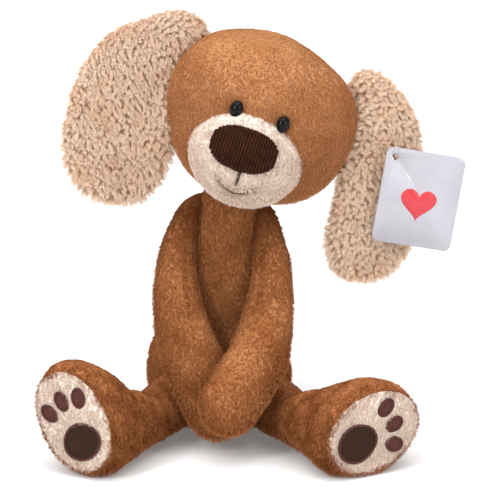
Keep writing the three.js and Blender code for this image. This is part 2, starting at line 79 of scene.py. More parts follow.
HEAD_CENTRE = Vector((35, -10, 279.5)) * MM
HEAD_HALF = np.array((82, 74, 77)) * MM
HEAD_CROWN = 66 * MM  # half height above its middle, where the head is flatter
HEAD_ROLL, HEAD_TURN = math.radians(18), math.radians(-4)
MUZZLE_CENTRE = np.array((-1, -47, -28.5)) * MM
MUZZLE_HALF = np.array((49, 44, 45.5)) * MM
NOSE_CENTRE = np.array((-4, -83, -19.5)) * MM
NOSE_HALF = np.array((29.5, 20, 18.5)) * MM
EYE_SIDE, EYE_HEIGHT = 20.5 * MM, 8 * MM
EYE_HALF = np.array((5.5, 4.4, 7.2)) * MM
EAR_ROOT = Vector((67, 13, 42)) * MM
EAR_THICKNESS = 11 * MM  # half
RIB = 2.6 * MM  # from one corduroy rib to the next

PAINTED_SHOULDER_SHADE = (145 * MM, 200 * MM)  # the heights between which the arms' colour darkens into painted shade, where the head shades the shoulders
LEG_LENGTH, LEG_YAW = 153 * MM, math.radians(31)
LEG_ROLL = {LEFT: math.radians(76), RIGHT: math.radians(32)}
SOLE_TOE, SOLE_SIDE, SOLE_LIFT = 43.5 * MM, 33 * MM, 17 * MM
TAIL_RADIUS = 10 * MM
FLOOR_GAP = 0.6 * MM  # a leg's skin is flattened this far above the floor

BLACK, WHITE = (0, 0, 0), (1, 1, 1)

head_place = (Matrix.Translation(HEAD_CENTRE) @ Matrix.Rotation(HEAD_ROLL, 4, "Y")
              @ Matrix.Rotation(HEAD_TURN, 4, "Z"))


def joint_place(name):
    """Where a joint of the record turns."""
    joint = next(j for j in frame["joints"] if j["name"] == name)
    return Vector(joint["pos_m"])


# ---- Curves and rings ----

def smoothstep(t, low, high):
    s = np.clip((t - low) / (high - low), 0, 1)
    return s * s * (3 - 2 * s)


def bell(distance, width):
    """1 at no distance, and close to nothing at twice the width."""
    return np.exp(-(distance / width) ** 2)


def smooth_through(knots, values, at):
    """Rows of values at some places, on the smooth curves through the rows at the knots."""
    slopes = np.gradient(values, knots, axis=0)
    i = np.clip(np.searchsorted(knots, at, side="right") - 1, 0, len(knots) - 2)
    span = (knots[i + 1] - knots[i])[:, None]
    u = (at - knots[i])[:, None] / span
    return ((2 * u**3 - 3 * u**2 + 1) * values[i] + (u**3 - 2 * u**2 + u) * span * slopes[i]
            + (3 * u**2 - 2 * u**3) * values[i + 1] + (u**3 - u**2) * span * slopes[i + 1])


def smooth_curve(points, count=240):
    """Evenly spaced places on a smooth curve through points, its direction at each, and its length."""
    points = np.array(points, float)
    steps = np.linalg.norm(np.diff(points, axis=0), axis=1)
    knots = np.concatenate(([0], np.cumsum(steps ** 0.5)))
    places = smooth_through(knots, points, np.linspace(0, knots[-1], 4 * count))
    run = np.concatenate(([0], np.cumsum(np.linalg.norm(np.diff(places, axis=0), axis=1))))
    even = np.linspace(0, run[-1], count)
    places = np.stack([np.interp(even, run, places[:, axis]) for axis in range(3)], axis=1)
    ahead = np.gradient(places, axis=0)
    return places, ahead / np.linalg.norm(ahead, axis=1, keepdims=True), run[-1]


def circle(sides, square=2.0):
    """A unit oval as (across, up) pairs. A square of 2 is a circle, and more is fuller at its corners."""
    angle = np.arange(sides) / sides * 2 * math.pi
    power = 2 / square
    across = np.sign(np.cos(angle)) * np.abs(np.cos(angle)) ** power
    up = np.sign(np.sin(angle)) * np.abs(np.sin(angle)) ** power
    return np.stack([across, up], axis=1)


def swept_rings(points, size_at, facing, cap, sides, rings, square=2.0):
    """Rings along a curve with rounded ends. size_at(t) gives the half width and the half depth."""
    places, ahead, length = smooth_curve(points)
    turn = np.linspace(0.06, math.pi / 2, 16)
    start, start_scale = cap * (1 - np.cos(turn)), np.sin(turn)
    middle = np.linspace(cap, length - cap, rings)[1:]
    distance = np.concatenate([start, middle, length - start[-2::-1]])
    scale = np.concatenate([start_scale, np.ones(len(middle)), start_scale[-2::-1]])
    t = distance / length
    step = np.linspace(0, 1, len(places))
    centre = np.stack([np.interp(t, step, places[:, axis]) for axis in range(3)], axis=1)
    along = np.stack([np.interp(t, step, ahead[:, axis]) for axis in range(3)], axis=1)
    across = np.cross(along, facing)
    across /= np.linalg.norm(across, axis=1, keepdims=True)
    up = np.cross(across, along)
    up /= np.linalg.norm(up, axis=1, keepdims=True)
    half_width, half_depth = size_at(t)
    unit = circle(sides, square)
    return (centre[:, None] + across[:, None] * (unit[:, 0] * (half_width * scale)[:, None])[..., None]
            + up[:, None] * (unit[:, 1] * (half_depth * scale)[:, None])[..., None])


def ball_rings(centre, half, sides=120, rings=80, crown=None):
    """Rings of an ellipsoid from its top to its bottom. A crown is its half height above its middle."""
    angle = (np.arange(rings) + 0.5) / rings * math.pi
    ring = np.sin(angle)[:, None, None] * circle(sides)[None] * np.array(half[:2])
    rise = np.where(angle < math.pi / 2, half[2] if crown is None else crown, half[2])
    height = np.broadcast_to((np.cos(angle) * rise)[:, None, None], (rings, sides, 1))
    return np.concatenate([ring, height], axis=2) + np.array(centre)


# ---- Meshes ----

def add_object(name, data):
    obj = bpy.data.objects.new(name, data)
    bpy.context.scene.collection.objects.link(obj)
    return obj


def add_mesh(name, vertices, faces, material, place=None):
    mesh = bpy.data.meshes.new(name)
    mesh.from_pydata(np.asarray(vertices).tolist(), [], faces)
    mesh.shade_smooth()
    mesh.materials.append(material)
    obj = add_object(name, mesh)
    if place is not None:
        mesh.transform(place)
    face_outwards(obj)
    return obj


def face_outwards(obj):
    """Turns every face of a closed mesh outwards."""
    corners = coordinates(obj)
    triangles = np.array([tuple(p.vertices)[:3] for p in obj.data.polygons])
    middle = corners.mean(axis=0)
    a, b, c = (corners[triangles[:, k]] - middle for k in range(3))
    if np.einsum("ij,ij->i", a, np.cross(b, c)).sum() < 0:
        obj.data.flip_normals()


def ring_faces(rings, sides, closed=False):
    """The quads between neighbouring rings, and between the last and the first if closed."""
    faces = []
    for ring in range(rings if closed else rings - 1):
        here, there = ring * sides, ((ring + 1) % rings) * sides
        for side in range(sides):
            turn = (side + 1) % sides
            faces.append((here + side, here + turn, there + turn, there + side))
    return faces


def add_rings(name, rings, material, place=None):
    """A closed body from rings, each end closed by a point in the middle of its last ring."""
    count, sides = rings.shape[:2]
    tips = np.stack([rings[0].mean(axis=0), rings[-1].mean(axis=0)])
    vertices = np.concatenate([rings.reshape(-1, 3), tips])
    faces = ring_faces(count, sides)
    first, last = count * sides, count * sides + 1
    for side in range(sides):
        turn = (side + 1) % sides
        faces.append((first, turn, side))
        faces.append((last, (count - 1) * sides + side, (count - 1) * sides + turn))
    return add_mesh(name, vertices, faces, material, place)


def add_tube(name, rings, material, place):
    """A closed loop of a tube, from rings that each run the whole way along it."""
    return add_mesh(name, rings.reshape(-1, 3), ring_faces(*rings.shape[:2], True), material, place)


def read(rows, field):
    found = np.zeros(len(rows) * 3, np.float32)
    rows.foreach_get(field, found)
    return found.reshape(-1, 3).astype(float)


def coordinates(obj):
    return read(obj.data.vertices, "co")


def normals(obj):
    obj.data.update()
    return read(obj.data.vertex_normals, "vector")


def move_to(obj, co):
    obj.data.vertices.foreach_set("co", np.asarray(co, np.float32).ravel())
    obj.data.update()


def in_frame(co, place):
    """Points of the row frame as the frame of a place sees them."""
    matrix = np.array(place.inverted())
    return co @ matrix[:3, :3].T + matrix[:3, 3]


def to_head(co):
    return in_frame(co, head_place)


def push(obj, amount):
    """Moves each vertex out along its normal by an amount, or by amount(coordinates)."""
    co = coordinates(obj)
    distance = amount(co) if callable(amount) else amount
    move_to(obj, co + normals(obj) * np.reshape(distance, (-1, 1)))


def relief(co, size, height, seed=0.0, stretch=(1, 1, 1)):
    """Smooth bumps of about that size and height. A stretch below 1 draws them out along that axis."""
    scaled = co * np.array(stretch) / size + seed
    return height * np.array([noise.noise(Vector(p)) for p in scaled])


def keep(obj, name, values, kind="FLOAT"):
    """Keeps a value for each vertex under a name, for the materials."""
    attribute = obj.data.attributes.new(name, kind, "POINT")
    field = "vector" if kind == "FLOAT_VECTOR" else "value"
    attribute.data.foreach_set(field, np.asarray(values, np.float32).ravel())


def remember_rest(obj):
    """Keeps each vertex's place at rest, so that patterns stay put as a piece bends."""
    keep(obj, "rest", coordinates(obj), "FLOAT_VECTOR")


def finish_soft(obj, body):
    """What every stuffed piece needs once its mesh is final."""
    remember_rest(obj)
    if body:
        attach(obj, body)


def finish_stiff(obj, body, node=None):
    """What every other piece needs once its mesh is final."""
    remember_rest(obj)
    if node:
        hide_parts(node)
    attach(obj, body)


# ---- Materials ----

def new_material(name):
    material = bpy.data.materials.new(name)
    material.use_nodes = True
    return material


def add_node(material, kind):
    return material.node_tree.nodes.new("ShaderNode" + kind)


def feed(socket, value):
    """Links another node's output to a socket, or gives the socket its own number, vector or colour."""
    if isinstance(value, bpy.types.NodeSocket):
        socket.id_data.links.new(value, socket)
    elif socket.type == "RGBA":
        socket.default_value = (*value, 1)
    else:
        socket.default_value = value


def set_shader(material, values):
    """Feeds the sockets of the material's shader, by their names."""
    shader = material.node_tree.nodes["Principled BSDF"]
    for name, value in values.items():
        feed(shader.inputs[name], value)


def kept_value(material, name, output="Fac"):
    """What the mesh keeps at each vertex under that name."""
    node = add_node(material, "Attribute")
    node.attribute_name = name
    return node.outputs[output]


def rest_coordinates(material):
    return kept_value(material, "rest", "Vector")


def noise_node(material, place, size, detail=2.0, stretch=(1, 1, 1)):
    """Noise whose bumps are about that size, drawn out where a stretch is below 1."""
    mapping = add_node(material, "Mapping")
    feed(mapping.inputs["Scale"], [s / size for s in stretch])
    feed(mapping.inputs["Vector"], place)
    texture = add_node(material, "TexNoise")
    feed(texture.inputs["Scale"], 1.0)
    feed(texture.inputs["Detail"], detail)
    feed(texture.inputs["Vector"], mapping.outputs["Vector"])
    return texture.outputs["Fac"]


def ramp_node(material, factor, first, last):
    """A colour that goes from first to last as the factor grows. Each is a factor and its colour."""
    ramp = add_node(material, "ValToRGB")
    for element, (place, colour) in zip(ramp.color_ramp.elements, (first, last)):
        element.position = place
        element.color = (*colour, 1)
    feed(ramp.inputs["Fac"], factor)
    return ramp.outputs["Color"]


def mottle(material, size, detail, first, last):
    """A colour that wanders from first to last in spots of about that size."""
    return ramp_node(material, noise_node(material, rest_coordinates(material), size, detail), first, last)


def mix_colour(material, factor, first, second, blend="MIX"):
    mix = add_node(material, "Mix")
    mix.data_type = "RGBA"
    mix.blend_type = blend
    for index, value in ((0, factor), (6, first), (7, second)):
        feed(mix.inputs[index], value)
    return mix.outputs[2]


def multiply(material, colour, by):
    return mix_colour(material, 1.0, colour, by, "MULTIPLY")


def grey(value):
    return (value, value, value)


def bump_node(material, height, strength, distance, before=None):
    bump = add_node(material, "Bump")
    feed(bump.inputs["Strength"], strength)
    feed(bump.inputs["Distance"], distance)
    feed(bump.inputs["Height"], height)
    if before is not None:
        feed(bump.inputs["Normal"], before)
    return bump.outputs["Normal"]


def plush(name, light, middle, dark, fleck=1.6 * MM, patch=26 * MM, stretch=(1, 1, 0.4), root=0.3,
          painted_shade_heights=None):
    """Pile: patches where the nap lies differently, fine flecks between its tips, darker roots, and painted
    shade in creases.

    The last argument is a pair of heights between which the colour darkens into painted shade, for the head's
    shadow on the shoulders.
    """
    material = new_material(name)
    strand = add_node(material, "HairInfo").outputs
    strand_place = add_node(material, "TexCoord").outputs["Object"]
    place = mix_colour(material, strand["Is Strand"], rest_coordinates(material), strand_place)
    patches = noise_node(material, place, patch, 3)
    flecks = noise_node(material, place, fleck, 3, stretch)
    fibres = noise_node(material, place, fleck / 4, 2, stretch)
    base = ramp_node(material, patches, (0.34, middle), (0.66, light))
    if painted_shade_heights is not None:
        # Painted shade: darker towards the shoulders, where the head shades them.
        base = multiply(material, base, painted_head_shade(material, place, *painted_shade_heights))

    shade = ramp_node(material, flecks, (0.32, BLACK), (0.58, WHITE))
    # Painted shade: darker where the skin is drawn into creases and dents and round the eyes.
    painted_crease_shade = ramp_node(material, kept_value(material, "crease"), (0, WHITE), (0.9, (0.42, 0.32, 0.26)))
    on_mesh = multiply(material, mix_colour(material, shade, dark, base), painted_crease_shade)

    deep = (root, root * 0.72, root * 0.55)
    along = ramp_node(material, strand["Intercept"], (0, deep), (0.75, grey(1.12)))
    mixed = ramp_node(material, strand["Random"], (0, (0.66, 0.63, 0.61)), (1, grey(1.16)))
    on_strand = multiply(material, multiply(material, base, along), mixed)

    soft = bump_node(material, flecks, 0.5, 1.2 * MM)
    set_shader(material, {
        "Base Color": mix_colour(material, strand["Is Strand"], on_mesh, on_strand),
        "Normal": bump_node(material, fibres, 0.4, 0.4 * MM, soft),
        "Roughness": 0.88, "Specular IOR Level": 0.12,
        "Sheen Weight": 0.06, "Sheen Roughness": 0.4,
        "Sheen Tint": light,
    })
    return material


def painted_head_shade(material, place, low, high):
    """White below the lower height, and a painted shade colour above the upper one, for the head's shadow on
    the shoulders.
    """
    height = add_node(material, "SeparateXYZ")
    feed(height.inputs["Vector"], place)
    turned = add_node(material, "MapRange")
    feed(turned.inputs["From Min"], low)
    feed(turned.inputs["From Max"], high)
    feed(turned.inputs["Value"], height.outputs["Z"])
    return ramp_node(material, turned.outputs["Result"], (0, WHITE), (1, (0.38, 0.30, 0.24)))


def corduroy():
    """Ribbed brown cotton. The ribs are in the mesh, and this adds their nap and painted shade in the grooves
    between them.
    """
    material = new_material("corduroy")
    nap = noise_node(material, rest_coordinates(material), 0.9 * MM, 3)
    worn = mottle(material, 7 * MM, 2, (0.35, (0.042, 0.013, 0.006)), (0.7, (0.066, 0.022, 0.011)))
    # Painted shade: the grooves between the ribs are nearly black.
    ribs = mix_colour(material, kept_value(material, "ridge"), (0.005, 0.002, 0.001), worn)
    speck = ramp_node(material, nap, (0.3, grey(0.7)), (0.7, (1.25, 1.2, 1.2)))
    set_shader(material, {
        "Base Color": multiply(material, ribs, speck),
        "Normal": bump_node(material, nap, 0.5, 0.4 * MM),
        "Roughness": 0.8, "Specular IOR Level": 0.05,
        "Sheen Weight": 0.03, "Sheen Roughness": 0.4,
        "Sheen Tint": (0.5, 0.25, 0.2),
    })
    return material


def satin_stitch(name, light, dark):
    """Glossy thread laid side by side."""
    material = new_material(name)
    fibres = noise_node(material, rest_coordinates(material), 0.6 * MM, 3)
    set_shader(material, {
        "Base Color": ramp_node(material, fibres, (0.35, dark), (0.62, light)),
        "Normal": bump_node(material, fibres, 0.5, 0.3 * MM),
        "Roughness": 0.7, "Specular IOR Level": 0.15,
        "Sheen Weight": 0.05, "Sheen Roughness": 0.35,
    })
    return material


def eye_plastic():
    """Black plastic under a clear coat, with faint scuffs."""
    material = new_material("eye_plastic")
    set_shader(material, {
        "Base Color": mottle(material, 4 * MM, 2, (0.3, (0.004, 0.004, 0.005)), (0.8, (0.010, 0.009, 0.009))),
        "Roughness": mottle(material, 1.2 * MM, 4, (0.2, grey(0.04)), (0.8, grey(0.10))),
        "Specular IOR Level": 0.02, "Coat Weight": 0.65,
        "Coat IOR": 1.28, "Coat Roughness": 0.03,
    })
    return material


def clear_plastic():
    material = new_material("clear_plastic")
    set_shader(material, {
        "Base Color": mottle(material, 3 * MM, 2, (0.3, (0.82, 0.83, 0.85)), (0.7, (0.95, 0.95, 0.96))),
        "Roughness": 0.22, "Transmission Weight": 0.75,
    })
    return material


def card_stock():
    """Coated white card with faint paper fibre."""
    material = new_material("card_stock")
    fibre = noise_node(material, rest_coordinates(material), 1.5 * MM, 4)
    paper = mottle(material, 22 * MM, 2, (0.3, (0.46, 0.45, 0.50)), (0.7, (0.50, 0.49, 0.54)))
    speck = ramp_node(material, fibre, (0.3, grey(0.96)), (0.7, WHITE))
    set_shader(material, {
        "Base Color": multiply(material, paper, speck),
        "Normal": bump_node(material, fibre, 0.1, 0.1 * MM),
        "Roughness": 0.35, "Coat Weight": 0.2,
    })
    return material


def ink(name, colour):
    material = new_material(name)
    lighter = tuple(min(1, c * 1.25 + 0.01) for c in colour)
    set_shader(material, {
        "Base Color": mottle(material, 1.0 * MM, 3, (0.35, colour), (0.75, lighter)),
        "Roughness": 0.35,
    })
    return material


def label_cloth():
    """White woven ribbon."""
    material = new_material("label_ribbon")
    place = rest_coordinates(material)
    weft = noise_node(material, place, 0.7 * MM, 2, (0.3, 0.3, 1))
    warp = noise_node(material, place, 0.7 * MM, 2, (1, 1, 0.3))
    weave = mix_colour(material, 0.5, weft, warp)
    set_shader(material, {
        "Base Color": ramp_node(material, weave, (0.35, (0.68, 0.67, 0.64)), (0.65, (0.86, 0.85, 0.82))),
        "Normal": bump_node(material, weave, 0.4, 0.2 * MM),
        "Roughness": 0.55, "Sheen Weight": 0.2,
    })
    return material


def make_materials():
    light, middle, dark = (0.57, 0.245, 0.094), (0.41, 0.148, 0.048), (0.21, 0.064, 0.018)
    return {
        "head_brown": plush("brown_plush_head", (0.64, 0.300, 0.130), (0.53, 0.228, 0.087),
                            (0.29, 0.106, 0.037), fleck=1.3 * MM, root=0.40),
        "brown": plush("brown_plush", light, middle, dark),
        # The arms' copy of the brown plush carries painted shade on the shoulders.
        "arm_brown_shaded": plush("brown_plush_arms_shaded", light, middle, dark, painted_shade_heights=PAINTED_SHOULDER_SHADE),
        # The legs' copy is darker: partly painted shade, where the legs lie in shade, and partly the nap
        # lying differently.
        "leg_brown_shaded": plush("brown_plush_legs_shaded", (0.50, 0.196, 0.071), (0.29, 0.095, 0.029),
                           (0.145, 0.039, 0.010), patch=14 * MM),
        "cream": plush("cream_plush", (0.95, 0.85, 0.76), (0.82, 0.70, 0.61), (0.58, 0.44, 0.36),
                       fleck=2 * MM, patch=14 * MM, root=0.62),
        "sherpa": plush("sherpa", (1.0, 0.85, 0.70), (0.97, 0.76, 0.58), (0.76, 0.53, 0.36),
                        fleck=3.2 * MM, patch=30 * MM, stretch=(1, 1, 0.5), root=0.74),
        "corduroy": corduroy(),
        "pad": satin_stitch("pad_fabric", (0.034, 0.013, 0.007), (0.022, 0.008, 0.004)),
        "stitch": satin_stitch("satin_stitch", (0.100, 0.033, 0.026), (0.060, 0.019, 0.015)),
        "thread": satin_stitch("dark_thread", (0.045, 0.022, 0.016), (0.015, 0.008, 0.006)),
        "eye": eye_plastic(),
        "clear": clear_plastic(),
        "card": card_stock(),
        "print": ink("card_ink", (0.55, 0.035, 0.045)),
        "label": label_cloth(),
    }


materials = make_materials()


# ---- Pile ----

def add_pile(obj, length, density, seed, lie=(0, 0, -0.9), children=12, clump=0.65, curl=0.0, width=0.2 * MM,
             segments=4, rough=0.4, bare=None, rise=0.75):
    """Strands of pile over a mesh, leaning along lie, apart from the vertices marked bare.

    The density is in strands on a square centimetre, and rise is how much they stand up.
    """
    system = obj.modifiers.new("pile", "PARTICLE_SYSTEM").particle_system
    system.seed = seed
    if bare is not None:
        group = obj.vertex_groups.new(name="pile")
        for index, is_bare in enumerate(bare):
            group.add([index], 0.0 if is_bare else 1.0, "REPLACE")
        system.vertex_group_density = group.name
    area = sum(p.area for p in obj.data.polygons) / CM**2
    strands = system.settings
    strands.type = "HAIR"
    strands.use_advanced_hair = True
    strands.emit_from = "FACE"
    strands.use_emit_random = True
    strands.use_even_distribution = True
    strands.count = int(area * density / children)
    strands.hair_step = segments
    strands.display_step = segments
    strands.render_step = segments
    strands.hair_length = length
    strands.normal_factor = rise * length / 4
    strands.object_align_factor = [length / 4 * a for a in lie]
    strands.factor_random = 0.25 * length / 4
    strands.child_type = "INTERPOLATED"
    strands.rendered_child_count = children
    strands.child_length = 1.0
    strands.clump_factor = clump
    strands.roughness_1 = rough * 0.3 * length
    strands.roughness_1_size = 3 * length
    strands.roughness_endpoint = rough * length * 0.5
    strands.roughness_2 = rough * 0.3 * length
    if curl:
        strands.kink = "CURL"
        strands.kink_amplitude = curl
        strands.kink_frequency = 1.5
    strands.root_radius = 1.0
    strands.tip_radius = 0.35
    strands.radius_scale = width / 2
    strands.material = 1


# ---- Head ----

HEAD_LUMPS = (  # how full, and where on the face, as shares of the head's half width and half height
    (-3.5 * MM, 0.5, 0.8), (2.5 * MM, -0.8, 0.5), (3 * MM, 0.7, -0.7), (2.5 * MM, -0.4, -0.9),
)
LUMP_SIZE = 0.4
EYE_TUCK, EYE_TUCK_SIZE, EYE_SUNK = 2.6 * MM, 8 * MM, 0.8 * MM


def head_fullness(co):
    """Hand-stuffed unevenness: flatter at the upper left of the face, fuller over and under it."""
    across, height = co[:, 0] / HEAD_HALF[0], co[:, 2] / HEAD_HALF[2]
    return sum(amount * bell(np.hypot(across - x, height - z), LUMP_SIZE) for amount, x, z in HEAD_LUMPS)


def build_head():
    half = HEAD_HALF - PILE_ROOM
    rings = ball_rings((0, 0, 0), half, 150, 100, HEAD_CROWN - PILE_ROOM)
    skin = add_rings("head_plush", rings, materials["head_brown"], head_place)
    push(skin, lambda co: relief(co, 40 * MM, 1.2 * MM, 3) + relief(co, 9 * MM, 0.35 * MM, 7)
         - eye_tuck(to_head(co)) + head_fullness(to_head(co)))
    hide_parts("head_skin", "head_filling")
    # The crease value drives painted shade round the eyes.
    keep(skin, "crease", eye_tuck(to_head(coordinates(skin))) / EYE_TUCK)
    finish_soft(skin, "head")
    add_pile(skin, HEAD_PILE, PLUSH_DENSITY, 11, clump=0.7)


def eye_places():
    """The two eyes' places on the head's surface and the way out from each, in the head's frame."""
    found = []
    upper_half = np.array((HEAD_HALF[0], HEAD_HALF[1], HEAD_CROWN))
    for side in (LEFT, RIGHT):
        x = side * EYE_SIDE
        y = -HEAD_HALF[1] * math.sqrt(1 - (x / HEAD_HALF[0]) ** 2 - (EYE_HEIGHT / HEAD_CROWN) ** 2)
        place = np.array((x, y, EYE_HEIGHT))
        out = place / upper_half**2
        found.append((side, place, out / np.linalg.norm(out)))
    return found


def eye_tuck(co):
    """How far the skin is drawn in around each eye."""
    return sum(EYE_TUCK * bell(np.linalg.norm(co - place, axis=1), EYE_TUCK_SIZE)
               for _, place, _ in eye_places())


def build_eyes():
    for side, place, out in eye_places():
        turn = Vector((0, -1, 0)).rotation_difference(Vector(out)).to_matrix().to_4x4()
        sunk = Matrix.Translation(Vector(place) - Vector(out) * EYE_SUNK)
        ball = ball_rings((0, 0, 0), EYE_HALF, 56, 36)
        name = SIDE_NAMES[side] + "_eye"
        eye = add_rings(name + "_button", ball, materials["eye"], head_place @ sunk @ turn)
        finish_stiff(eye, "head", name)


# ---- Muzzle, nose and mouth ----

def line_distance(co, line):
    """How far each point is from a line of points, in the plane that the head looks along."""
    nearest = np.full(len(co), 1.0)
    flat = co[:, [0, 2]]
    for start, end in zip(line[:-1], line[1:]):
        a, b = np.array(start), np.array(end)
        t = np.clip(((flat - a) @ (b - a)) / ((b - a) @ (b - a)), 0, 1)
        nearest = np.minimum(nearest, np.linalg.norm(flat - (a + t[:, None] * (b - a)), axis=1))
    return nearest


NOSE_FOOT = NOSE_CENTRE[2] - NOSE_HALF[2]
SMILE_HALF, SMILE_DIP, SMILE_BELOW = 16 * MM, 9 * MM, 20.5 * MM
SMILE_END = NOSE_FOOT - SMILE_BELOW + SMILE_DIP
CHIN_BELOW, CHIN_HALF = 7 * MM, 4 * MM
LIP_SIDE, LIP_SWELL, LIP_SIZE = 11 * MM, 4 * MM, 9 * MM
MUZZLE_FRONT = (50 * MM, 62 * MM)  # the creases fade in between these, in front of the head's middle


def smile_place(part):
    """A place along the smile, from -1 to 1, across and up in the head's frame."""
    return (MUZZLE_CENTRE[0] + part * SMILE_HALF, SMILE_END - SMILE_DIP * math.cos(part * math.pi / 2))


PHILTRUM = [(MUZZLE_CENTRE[0], NOSE_FOOT + 3 * MM), (MUZZLE_CENTRE[0], SMILE_END)]
SMILE = [smile_place(part) for part in np.linspace(-1, 1, 9)]
CHIN = [(MUZZLE_CENTRE[0] + end * CHIN_HALF, SMILE_END - SMILE_DIP - CHIN_BELOW) for end in (-1, 1)]
PHILTRUM_DEPTH, PHILTRUM_WIDTH = 4 * MM, 1.9 * MM
CREASES = ((PHILTRUM, PHILTRUM_DEPTH, PHILTRUM_WIDTH), (SMILE, 5 * MM, 3 * MM), (CHIN, 2.2 * MM, 3.5 * MM))


def mouth_creases(co):
    """The lines sewn into the muzzle under the nose, on its front only."""
    found = np.zeros(len(co))
    for line, depth, width in CREASES:
        found = np.maximum(found, depth * bell(line_distance(co, line), width))
    return found * smoothstep(-co[:, 1], *MUZZLE_FRONT)


def lip_swell(co):
    """The two soft pads of the upper lip."""
    swell = 0
    for side in (-1, 1):
        middle = np.array((MUZZLE_CENTRE[0] + side * LIP_SIDE, (NOSE_FOOT + SMILE_END) / 2))
        swell = swell + LIP_SWELL * bell(np.linalg.norm(co[:, [0, 2]] - middle, axis=1), LIP_SIZE)
    return swell * (co[:, 1] < MUZZLE_CENTRE[1])


def build_muzzle():
    rings = ball_rings(MUZZLE_CENTRE, MUZZLE_HALF - PILE_ROOM, 170, 120)
    muzzle = add_rings("muzzle_plush", rings, materials["cream"], head_place)
    push(muzzle, lambda co: relief(co, 24 * MM, 0.8 * MM, 5) + relief(co, 5 * MM, 0.8 * MM, 2)
         + lip_swell(to_head(co)) - mouth_creases(to_head(co)))
    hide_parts("muzzle_cover", "muzzle_filling")
    # The crease value drives painted shade in the mouth's creases.
    keep(muzzle, "crease", mouth_creases(to_head(coordinates(muzzle))) / PHILTRUM_DEPTH)
    finish_soft(muzzle, "head")
    flat = to_head(coordinates(muzzle))
    sewn = np.minimum(line_distance(flat, PHILTRUM), line_distance(flat, SMILE)) < PHILTRUM_WIDTH
    add_pile(muzzle, SHORT_PILE, 300, 12, lie=(0.1, 0, -0.8), clump=0.7, curl=0.3 * MM, rough=0.5, bare=sewn)


def build_nose():
    """The nose's rings run about its own Y axis, so that its ribs are cut by even columns."""
    sides, rows = 208, 104
    angle = (np.arange(rows) + 0.5) / rows * math.pi
    ring = np.sin(angle)[:, None, None] * circle(sides, 2.35)[None]
    x, z = ring[..., 0], ring[..., 1]
    y = -np.cos(angle)[:, None] * np.ones(sides)
    # Its lower edge reaches further down in the middle, and at a lobe on each side.
    reach = 0.10 * bell(x, 0.16) + 0.06 * bell(np.abs(x) - 0.42, 0.25)
    z = z - np.clip(-z, 0, 1) * reach
    rings = np.stack([x, y, z], axis=2) * (NOSE_HALF - 0.6 * MM) + NOSE_CENTRE
    nose = add_rings("nose_corduroy", rings, materials["corduroy"], head_place)
    flat = to_head(coordinates(nose))
    ridge = (0.5 + 0.5 * np.cos(flat[:, 0] / RIB * 2 * math.pi)) ** 0.6
    push(nose, (ridge - 0.5) * 1.1 * MM + relief(flat, 3 * MM, 0.12 * MM, 4))
    # The ridge value drives painted shade in the grooves between the ribs.
    keep(nose, "ridge", ridge)
    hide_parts("nose_cover", "nose_filling")
    finish_soft(nose, "head")


def twisted_thread(name, line, radius, material, node, body):
    """A thread of two twisted plies along a line of points in the row frame."""
    places, ahead, length = smooth_curve(line, 90)
    sides = 12
    side_way = np.cross(ahead, np.array((0, -1.0, 0.3)))
    side_way /= np.linalg.norm(side_way, axis=1, keepdims=True)
    up = np.cross(side_way, ahead)
    angle = np.arange(sides) / sides * 2 * math.pi
    twist = np.linspace(0, length / (5 * radius) * 2 * math.pi, len(places))
    ply = radius * (0.78 + 0.22 * np.abs(np.cos(angle[None] + twist[:, None])))
    rings = (places[:, None] + side_way[:, None] * (ply * np.cos(angle))[..., None]
             + up[:, None] * (ply * np.sin(angle))[..., None])
    finish_stiff(add_rings(name, rings, material), body, node)


def on_muzzle(x, z, proud):
    """A place on the muzzle's creased front, in the row frame."""
    across = (x - MUZZLE_CENTRE[0]) / MUZZLE_HALF[0]
    height = (z - MUZZLE_CENTRE[2]) / MUZZLE_HALF[2]
    y = MUZZLE_CENTRE[1] - MUZZLE_HALF[1] * math.sqrt(1 - across**2 - height**2)
    return head_place @ Vector((x, y - proud, z))


def build_mouth():
    heights = np.linspace(NOSE_FOOT + 2 * MM, SMILE_END, 5)
    line = [on_muzzle(MUZZLE_CENTRE[0], z, -1.4 * MM) for z in heights]
    thread = materials["thread"]
    twisted_thread("philtrum_thread", line, 0.8 * MM, thread, "philtrum_stitch", "head")
    line = [on_muzzle(*place, -2.9 * MM) for place in SMILE]
    twisted_thread("smile_thread", line, 0.6 * MM, thread, "smile_stitch", "head")


# ---- Ears ----

EAR_STEPS = {  # from its root: out over the side of the head, then down
    LEFT: [(14, -1, -4), (25, -5, -32), (23, -9, -88), (5, -13, -162)],
    RIGHT: [(-22, -6, 0), (-52, -8, -26), (-74, -10, -82), (-77, -12, -139)],
}
EAR_FACING = {LEFT: (0.42, -0.91, 0), RIGHT: (-0.17, -0.98, 0)}
EAR_HALF = {LEFT: 42 * MM, RIGHT: 47 * MM}
EAR_NECK, EAR_FULL_FROM, EAR_ROUND_FROM, EAR_BLUNT = 12 * MM, 0.55, 0.6, 2.6
EAR_CURL = 12 * MM
SHERPA_DENSITY = 420  # strands on a square centimetre
SHERPA_ROOM = 3.5 * MM  # the ear's cloth lies this far inside its CAD solids, and its tufts fill the rest


def ear_size(half):
    """Half an ear's width and thickness along its length: narrow at the head, round at its end."""
    def size_at(t):
        neck = EAR_NECK + (half - EAR_NECK) * np.sin(np.minimum(t / EAR_FULL_FROM, 1) * math.pi / 2)
        past = np.clip((t - EAR_ROUND_FROM) / (1 - EAR_ROUND_FROM), 0, 0.999)
        width = neck * (1 - past**EAR_BLUNT) ** (1 / EAR_BLUNT)
        return width - SHERPA_ROOM * width / neck, np.minimum(EAR_THICKNESS - SHERPA_ROOM, width * 0.45)
    return size_at


